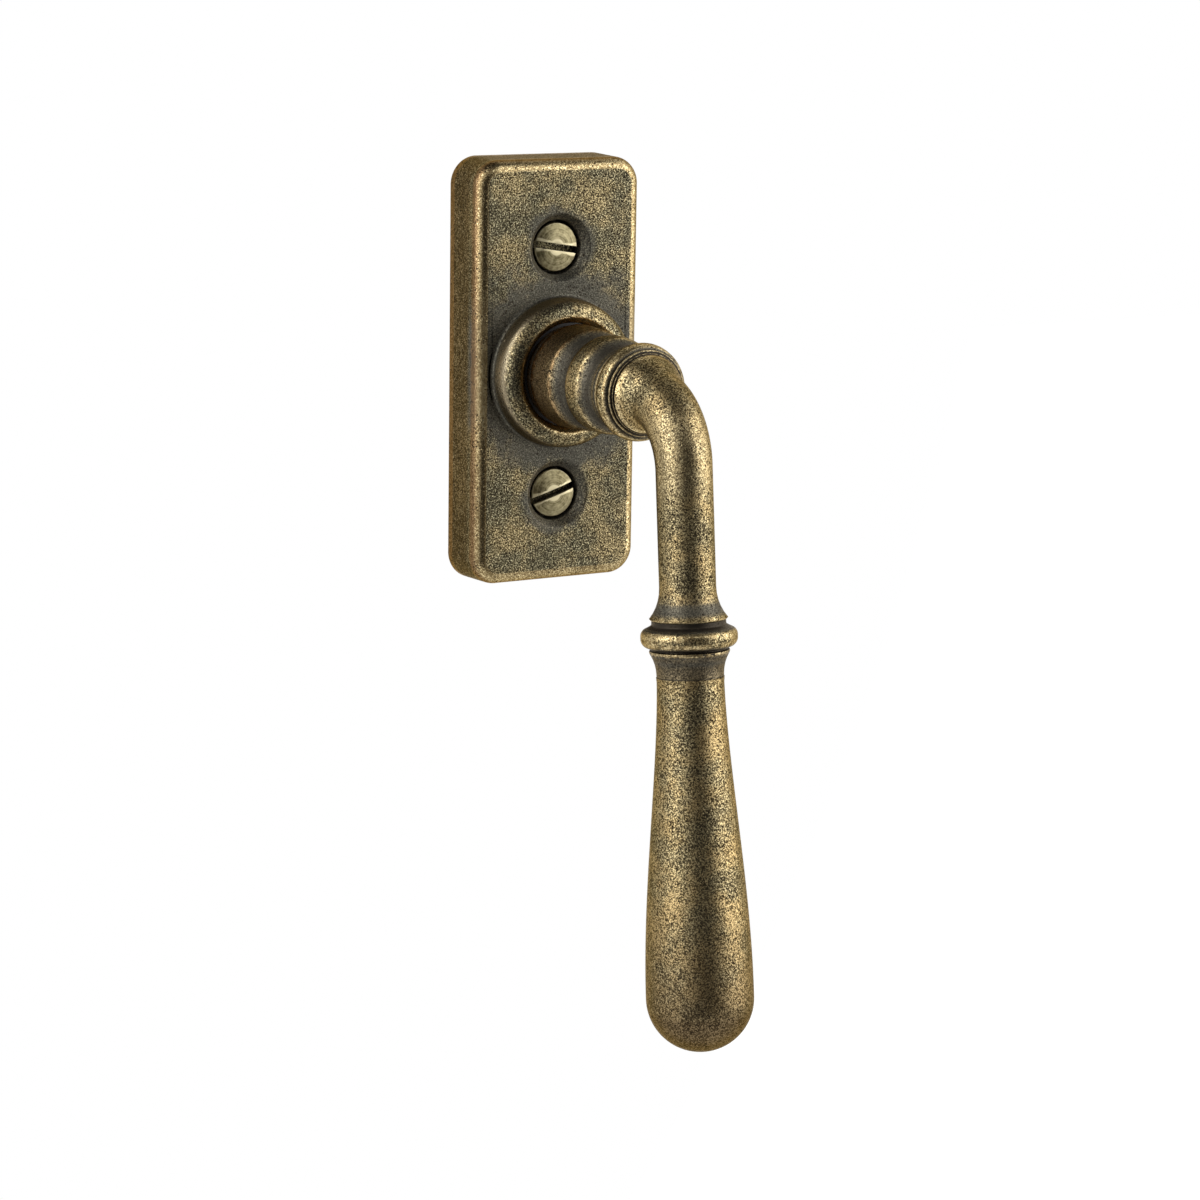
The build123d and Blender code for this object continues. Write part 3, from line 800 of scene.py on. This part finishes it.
def make_tone_group():
    """The colours of the antique brass, from its speckle, its wear and its shelter, with painted shade and
    painted shadow where its masks put them.
    """
    tree, given, result = new_group(
        "antique_tones",
        [("Grains", 0.5), ("Patches", 0.5), ("Pits", 0.0), ("Worn", 0.0), ("Patina_and_shade", 0.0),
         ("Deep_shade", 0.0), ("Dulled_and_shaded", 0.0), ("Polished", 0.0), ("Coppery", 0.0), ("Warmth", 0.5)],
        ["Color", "Roughness", "Metallic", "Height"])
    grains = given["Grains"]
    speckled = tones(tree, grains, (0.0, (0.030, 0.024, 0.014)), (0.3, (0.105, 0.082, 0.043)),
                     (0.6, (0.245, 0.194, 0.100)), (1.0, (0.53, 0.435, 0.24)))
    lean = number(tree, "ADD", given["Warmth"], graded(tree, given["Patches"], 0.5, -0.25))
    tint = tones(tree, lean, (0.0, (0.80, 0.88, 1.0)), (0.5, (1.0, 0.97, 0.93)),
                 (1.0, (1.0, 0.86, 0.70)))
    warmed = mix(tree, 1.0, speckled, tint, "MULTIPLY")
    # Darker brown tone, partly painted shade on the plate's sides, the drum, the lower grip and the cap.
    shaded_dull_tone = tones(tree, grains, (0.0, (0.028, 0.019, 0.010)), (0.5, (0.090, 0.063, 0.032)),
                 (1.0, (0.225, 0.163, 0.090)))
    dulled_and_shaded = mix(tree, given["Dulled_and_shaded"], warmed, shaded_dull_tone)
    smooth = tones(tree, grains, (0.0, (0.21, 0.172, 0.112)), (1.0, (0.40, 0.335, 0.22)))
    polished = mix(tree, given["Polished"], dulled_and_shaded, smooth)
    patina = tones(tree, grains, (0.0, (0.038, 0.037, 0.031)), (1.0, (0.108, 0.105, 0.086)))
    # The grey patina; on the plate its mask also carries painted shadow round the ring and the screws.
    patina_and_shade = mix(tree, times(tree, given["Patina_and_shade"], 0.92), polished, patina)
    # Painted shade: the deepest hollows darken towards black, beyond their patina.
    patina_and_shade = mix(tree, given["Deep_shade"], patina_and_shade, (0.018, 0.015, 0.012))
    gold = tones(tree, grains, (0.0, (0.18, 0.126, 0.058)), (0.5, (0.40, 0.305, 0.15)),
                 (1.0, (0.66, 0.54, 0.31)))
    copper = tones(tree, grains, (0.0, (0.11, 0.063, 0.028)), (1.0, (0.27, 0.165, 0.078)))
    bared = mix(tree, given["Coppery"], gold, copper)
    rubbed = mix(tree, times(tree, given["Worn"], 0.85), patina_and_shade, bared)
    pitted = mix(tree, times(tree, given["Pits"], 0.85), rubbed, (0.02, 0.015, 0.01))
    feed(tree, result["Color"], pitted)
    rough = graded(tree, grains, -0.14, 0.50)
    for name, slope in (("Worn", -0.18), ("Polished", -0.14), ("Pits", 0.2)):
        rough = graded(tree, given[name], slope, rough)
    feed(tree, result["Roughness"], rough)
    feed(tree, result["Metallic"], graded(tree, given["Patina_and_shade"], -0.4, 1.0))
    uneven = grain(tree, own_place(tree), swell_scale, 2.0)
    height = graded(tree, grains, 0.3, times(tree, uneven, 1.2))
    feed(tree, result["Height"], number(tree, "SUBTRACT", height, given["Pits"]))
    return tree


def make_metal_group():
    """A plated or bare metal with fine uneven grain in its colour and gloss."""
    tree, given, result = new_group(
        "metal_grain", [("Light", (0.5, 0.5, 0.5)), ("Dark", (0.3, 0.3, 0.3)), ("Gloss", 0.25),
                        ("Grain", 1200.0), ("Turned", 0.0)], ["Color", "Roughness", "Height"])
    fine = grain(tree, own_place(tree), given["Grain"], 3.0, 0.6)
    broad = grain(tree, own_place(tree), times(tree, given["Grain"], 0.12), 2.0)
    both = graded(tree, fine, 0.4, times(tree, broad, 0.6))
    shade = ramp(tree, number(tree, "ADD", both, times(tree, given["Turned"], 0.25)), 0.36, 0.66)
    feed(tree, result["Color"], mix(tree, shade, given["Dark"], given["Light"]))
    feed(tree, result["Roughness"], graded(tree, fine, 0.25, given["Gloss"]))
    feed(tree, result["Height"], number(tree, "ADD", fine, given["Turned"]))
    return tree


def new_material(name):
    """A material with its node tree and its Principled shader."""
    material = bpy.data.materials.new(name)
    material.use_nodes = True
    tree = material.node_tree
    return material, tree, tree.nodes["Principled BSDF"]


def set_bump(tree, shader, height, distance):
    """Feeds a height, times a distance in mm, to the shader's normal."""
    node = add(tree, "ShaderNodeBump")
    node.inputs["Distance"].default_value = distance * MM
    feed(tree, node.inputs["Height"], height)
    feed(tree, shader.inputs["Normal"], node.outputs["Normal"])


def antique_brass(name, groups, masks, gold, patchiness, warmth):
    """Cast brass under the antique finish, with the masks of where its tones change."""
    material, tree, shader = new_material(name)
    speckle, wear, tone = groups
    speckled = use(tree, speckle, Gold=gold, Patchiness=patchiness)
    places = masks(tree, use(tree, wear))
    made = use(tree, tone, Grains=speckled["Grains"], Patches=speckled["Patches"], Pits=speckled["Pits"],
               Warmth=warmth, **places)
    feed(tree, shader.inputs["Base Color"], made["Color"])
    feed(tree, shader.inputs["Roughness"], made["Roughness"])
    feed(tree, shader.inputs["Metallic"], made["Metallic"])
    shader.inputs["Specular Tint"].default_value = (0.78, 0.64, 0.44, 1)
    set_bump(tree, shader, made["Height"], 0.03)
    return material


def plate_masks(tree, worn):
    """Browner streaked sides darkened partly as painted shade, a coppery edge, a polished ring, and grey
    patina with painted shadow round it and the screws.
    """
    depth = depth_of(tree)
    streaks = grain(tree, placed(tree, scale=(1, 1, 0.12)), 1500.0, 3.0, 0.6)
    # Painted shade: the sides are darker brown, partly for the shade that falls on them.
    side = over(tree, depth, side_shade_and_browning)
    dulled_and_shaded = times(tree, side, graded(tree, streaks, 0.9, 0.35))
    on_ring = over(tree, depth, ring_start)
    off_axis = length_of(tree, placed(tree, (0, 0, 0), (1, 0, 1)))
    inner = times(tree, on_ring, over(tree, off_axis, crest_rub))
    polished = times(tree, on_ring, over(tree, depth, ring_polish))
    polished = times(tree, polished, graded(tree, inner, -1.0, 1.0))
    wander = number(tree, "SUBTRACT", grain(tree, own_place(tree), 230.0, 3.0, 0.6), 0.5)
    # Painted shadow: the flat front darkens towards the ring, on top of its grey patina.
    shadow = over(tree, graded(tree, wander, ring_shadow_wander * MM, off_axis), ring_shadow)
    flat = times(tree, graded(tree, on_ring, -1.0, 1.0), graded(tree, side, -1.0, 1.0))
    patina_and_shade = larger(tree, worn["Patina_and_shade"], times(tree, shadow, flat))
    rubbed = times(tree, worn["Worn"], graded(tree, polished, -0.7, 1.0))
    rubbed = larger(tree, rubbed, times(tree, inner, 0.8))
    off_front = number(tree, "ABSOLUTE", number(tree, "SUBTRACT", depth, plate_front * MM))
    off_flats = number(tree, "MINIMUM", off_front, number(tree, "ABSOLUTE", depth))
    rubbed = times(tree, rubbed, over(tree, off_flats, flat_margin))
    for height in (screw_height, -screw_height):
        away = length_of(tree, placed(tree, (0, 0, height), (1, 0, 1)))
        # Painted shadow: the front darkens round each screw's dish, on top of its grey patina.
        dish = over(tree, graded(tree, wander, dish_shadow_wander * MM, away), dish_shadow)
        patina_and_shade = larger(tree, patina_and_shade, times(tree, dish, 0.9))
        rubbed = times(tree, rubbed, over(tree, away, dish_shelter))
    return {"Worn": rubbed, "Patina_and_shade": patina_and_shade, "Deep_shade": worn["Deep_shade"], "Polished": polished,
            "Dulled_and_shaded": number(tree, "MINIMUM", dulled_and_shaded, 1.0), "Coppery": over(tree, depth, edge_reddening)}


def lever_masks(tree, worn):
    """A browner drum, collar foot and grip end, the drum, lower grip and cap darkened partly as painted
    shade, a rubbed bend, and dark finish in the line at the waist.
    """
    depth = depth_of(tree)
    dot = add(tree, "ShaderNodeVectorMath", operation="DOT_PRODUCT")
    feed(tree, dot.inputs[0], placed(tree, arm_corner / MM))
    dot.inputs[1].default_value = down_arm
    along = dot.outputs["Value"]
    foot = band(tree, along, collar_foot, 0.3)
    # Painted shade: the drum by the plate, the lower grip and the cap darken, partly as browner finish.
    grip_end = times(tree, over(tree, along, grip_shade_and_browning), 0.75)
    dulled_and_shaded = larger(tree, over(tree, depth, neck_shade_and_browning), grip_end)
    dulled_and_shaded = larger(tree, dulled_and_shaded, over(tree, along, cap_shade_and_browning))
    dulled_and_shaded = larger(tree, dulled_and_shaded, times(tree, foot, 0.8))
    bend = over(tree, length_of(tree, placed(tree, bend_middle)), bend_rub)
    rubbed = times(tree, worn["Worn"], graded(tree, foot, -0.9, 1.0))
    rubbed = larger(tree, rubbed, times(tree, bend, 0.5))
    waist = times(tree, band(tree, along, waist_line, 0.04), 0.7)
    patina_and_shade = larger(tree, worn["Patina_and_shade"], larger(tree, times(tree, foot, 0.45), waist))
    # Less painted shade in the hollow just below the flare's lip.
    off_flare = graded(tree, band(tree, along, flare_shade, 0.2), -0.65, 1.0)
    return {"Worn": rubbed, "Patina_and_shade": patina_and_shade, "Deep_shade": times(tree, worn["Deep_shade"], off_flare),
            "Polished": times(tree, bend, 0.2), "Dulled_and_shaded": dulled_and_shaded,
            "Coppery": over(tree, depth, neck_reddening)}


def plain_metal(name, group, light, gloss, fineness):
    """A small part in a plated or bare metal."""
    material, tree, shader = new_material(name)
    dark = tuple(value * 0.7 for value in light)
    made = use(tree, group, Light=light, Dark=dark, Gloss=gloss, Grain=fineness)
    feed(tree, shader.inputs["Base Color"], made["Color"])
    feed(tree, shader.inputs["Roughness"], made["Roughness"])
    shader.inputs["Metallic"].default_value = 1.0
    set_bump(tree, shader, made["Height"], 0.01)
    return material


def turned_brass(name, group):
    """The screws' brass: turning marks round the head, slot lips lightened as painted highlights, and dirt
    with painted shade in the slot.
    """
    material, tree, shader = new_material(name)
    split = add(tree, "ShaderNodeSeparateXYZ")
    feed(tree, split.inputs[0], own_place(tree))
    above = number(tree, "SUBTRACT", number(tree, "ABSOLUTE", split.outputs["Z"]), screw_height * MM)
    flat = add(tree, "ShaderNodeCombineXYZ")
    feed(tree, flat.inputs["X"], split.outputs["X"])
    feed(tree, flat.inputs["Y"], above)
    line = add(tree, "ShaderNodeCombineXYZ")
    feed(tree, line.inputs["X"], length_of(tree, flat.outputs["Vector"]))
    marks = grain(tree, line.outputs["Vector"], 3400.0, 1.0)
    made = use(tree, group, Light=(0.285, 0.247, 0.14), Dark=(0.07, 0.057, 0.028), Gloss=0.24,
               Grain=1500.0, Turned=number(tree, "SUBTRACT", marks, 0.5))
    depth = depth_of(tree)
    flecks = ramp(tree, grain(tree, own_place(tree), 3000.0, 2.0, 0.6, 0.6), 0.46, 0.58)
    # Dirt and painted shade: the slot darkens below the head's rim, broken by flecks.
    dirt_and_shade = times(tree, over(tree, depth, slot_dirt_and_shade), graded(tree, flecks, -0.7, 1.0))
    dirt_and_shade = times(tree, dirt_and_shade, over(tree, depth, head_dirt_and_shade))
    # Painted highlight: sharp edges, such as the slot lips and the head's rim, are lightened.
    bright = mix(tree, ramp(tree, stored(tree, "crest"), 1.2, 3.4), made["Color"], (0.44, 0.385, 0.24))
    feed(tree, shader.inputs["Base Color"], mix(tree, dirt_and_shade, bright, (0.022, 0.018, 0.012)))
    feed(tree, shader.inputs["Roughness"], graded(tree, dirt_and_shade, 0.3, made["Roughness"]))
    shader.inputs["Metallic"].default_value = 1.0
    set_bump(tree, shader, made["Height"], 0.02)
    return material


def moulded_nylon(name):
    """Black moulded nylon with a faint mottle."""
    material, tree, shader = new_material(name)
    mottle = grain(tree, own_place(tree), 1400.0, 3.0)
    black = mix(tree, mottle, (0.015, 0.015, 0.016), (0.05, 0.05, 0.052))
    feed(tree, shader.inputs["Base Color"], black)
    feed(tree, shader.inputs["Roughness"], graded(tree, mottle, 0.2, 0.4))
    set_bump(tree, shader, mottle, 0.02)
    return material


def stage_sheet(name, matrix, material):
    """A flat sheet of the studio, which isn't part of the handle."""
    bm = bmesh.new()
    bmesh.ops.create_grid(bm, x_segments=1, y_segments=1, size=1, matrix=matrix)
    sheet = new_object(name, bm)
    sheet.data.materials.append(material)
    return sheet


def seen_directly(tree):
    """1 for rays from the camera, from a mirror or through glass, and 0 for others."""
    rays = add(tree, "ShaderNodeLightPath").outputs
    seen = number(tree, "ADD", rays["Is Camera Ray"], rays["Is Glossy Ray"])
    return number(tree, "MINIMUM", number(tree, "ADD", seen, rays["Is Transmission Ray"]), 1.0)


def facing_light(place):
    """The frame at a place whose local -Z looks at the middle of the handle."""
    back = (place - handle_middle).normalized()
    level = Vector((0, 0, 1)).cross(back).normalized()
    return Matrix.Translation(place) @ Matrix((level, back.cross(level), back)).transposed().to_4x4()


def toward(turn, lift, distance):
    """A place at a distance from the handle, turned to the right of the camera and lifted."""
    angle = camera_azimuth - pi / 2 + radians(turn)
    lift = radians(lift)
    return Vector((cos(angle) * cos(lift), sin(angle) * cos(lift), sin(lift))) * distance


def make_floor():
    """A plain pale floor that shows white to the camera and in reflections."""
    material, tree, shader = new_material("pale_floor")
    shader.inputs["Base Color"].default_value = (0.35, 0.35, 0.35, 1)
    shader.inputs["Roughness"].default_value = 0.9
    shader.inputs["Emission Color"].default_value = (1, 1, 1, 1)
    feed(tree, shader.inputs["Emission Strength"], times(tree, seen_directly(tree), 0.85))
    level = Matrix.Translation((0, 0, -floor_drop)) @ Matrix.Scale(floor_half_width, 4)
    stage_sheet("floor", level, material)


def make_frame_face():
    """The white face of the window frame, for the camera alone: clear from behind and when seen aslant."""
    material, tree, shader = new_material("white_frame_face")
    tree.nodes.remove(shader)
    glow = add(tree, "ShaderNodeEmission")
    clear = add(tree, "ShaderNodeBsdfTransparent")
    one_sided = add(tree, "ShaderNodeMixShader")
    behind = add(tree, "ShaderNodeNewGeometry").outputs["Backfacing"]
    facing_away = add(tree, "ShaderNodeLayerWeight").outputs["Facing"]
    aslant = number(tree, "GREATER_THAN", facing_away, clear_beyond)
    feed(tree, one_sided.inputs[0], larger(tree, behind, aslant))
    feed(tree, one_sided.inputs[1], glow.outputs[0])
    feed(tree, one_sided.inputs[2], clear.outputs[0])
    feed(tree, tree.nodes["Material Output"].inputs["Surface"], one_sided.outputs[0])
    upright = facing(Vector((0, frame_face_gap, frame_face_height)), room)
    face = stage_sheet("frame_face", upright @ Matrix.Scale(frame_face_half_width, 4), material)
    for rays in ("diffuse", "glossy", "transmission", "shadow"):
        setattr(face, f"visible_{rays}", False)


def make_world():
    """A white studio that lights at half the strength at which it shows."""
    world = bpy.data.worlds.new("studio")
    bpy.context.scene.world = world
    world.use_nodes = True
    tree = world.node_tree
    sky = tree.nodes["Background"]
    sky.inputs["Color"].default_value = (1, 1, 1, 1)
    feed(tree, sky.inputs["Strength"], graded(tree, seen_directly(tree), 0.5, 0.5))


def make_lamps():
    """Two soft lamps, one at each side."""
    for name, turn, lift, width, height, level in softboxes:
        lamp = bpy.data.lights.new(name, "AREA")
        lamp.shape = "RECTANGLE"
        lamp.size = width
        lamp.size_y = height
        lamp.energy = level * pi * width * height
        holder = bpy.data.objects.new(name, lamp)
        bpy.context.scene.collection.objects.link(holder)
        holder.matrix_world = facing_light(toward(turn, lift, lamp_distance))
        holder.visible_camera = False


def make_cloths():
    """Dark cloths between the lamps and above, for the dark streaks in the metal."""
    material, _, shader = new_material("dark_cloth")
    shader.inputs["Base Color"].default_value = (0.02, 0.02, 0.02, 1)
    shader.inputs["Roughness"].default_value = 1.0
    for name, turn, lift, half_width, half_height in cloths:
        spread = Matrix.Diagonal((half_width, half_height, 1, 1))
        cloth = stage_sheet(name, facing_light(toward(turn, lift, lamp_distance)) @ spread, material)
        cloth.visible_camera = False


def make_camera():
    """The photograph's camera: the origin of the frame shows at its pixel, at its scale."""
    back = Vector((sin(camera_azimuth) * cos(camera_elevation),
                   -cos(camera_azimuth) * cos(camera_elevation), sin(camera_elevation)))
    level = Vector((cos(camera_azimuth), sin(camera_azimuth), 0))
    right = level * cos(camera_roll) + back.cross(level) * sin(camera_roll)
    up = back.cross(right)
    across = (origin_pixel[0] - photo_width / 2) / pixels_per_metre
    down = (origin_pixel[1] - photo_width / 2) / pixels_per_metre
    place = back * camera_distance - right * across + up * down
    lens = bpy.data.cameras.new("photo_camera")
    lens.sensor_width = sensor_width
    lens.lens = sensor_width * pixels_per_metre * camera_distance / photo_width
    lens.clip_start = 0.01
    holder = bpy.data.objects.new("photo_camera", lens)
    bpy.context.scene.collection.objects.link(holder)
    holder.matrix_world = Matrix.Translation(place) @ Matrix((right, up, back)).transposed().to_4x4()
    bpy.context.scene.camera = holder


antique = (make_speckle_group(), make_wear_group(), make_tone_group())
metal = make_metal_group()
plate_brass = antique_brass("plate_brass", antique, plate_masks, gold=0.465, patchiness=0.2, warmth=0.2)
lever_brass = antique_brass("lever_brass", antique, lever_masks, gold=0.51, patchiness=0.25, warmth=0.55)
screw_brass = turned_brass("screw_brass", metal)
finishes = {
    "antique_brass": lever_brass,
    "screw_brass": screw_brass,
    "zinc_steel": plain_metal("zinc_plated_steel", metal, (0.40, 0.40, 0.385), gloss=0.3, fineness=1500.0),
    "spring_steel": plain_metal("spring_steel", metal, (0.22, 0.22, 0.24), gloss=0.3, fineness=1200.0),
    "sleeve_zinc": plain_metal("die_cast_zinc", metal, (0.36, 0.36, 0.37), gloss=0.4, fineness=1800.0),
    "nylon": moulded_nylon("moulded_nylon"),
}

make_plate(plate_brass)
make_lever(lever_brass)
make_screw("upper", screw_height, screw_brass)
make_screw("lower", -screw_height, screw_brass)

for part in frame["record"]["subparts"]:
    node = frame["nodes"][part["node"]]
    node.data.materials.clear()
    node.data.materials.append(finishes[part["material_slot"]])

make_floor()
make_frame_face()
make_world()
make_lamps()
make_cloths()
make_camera()
bpy.context.scene.view_settings.view_transform = "Standard"
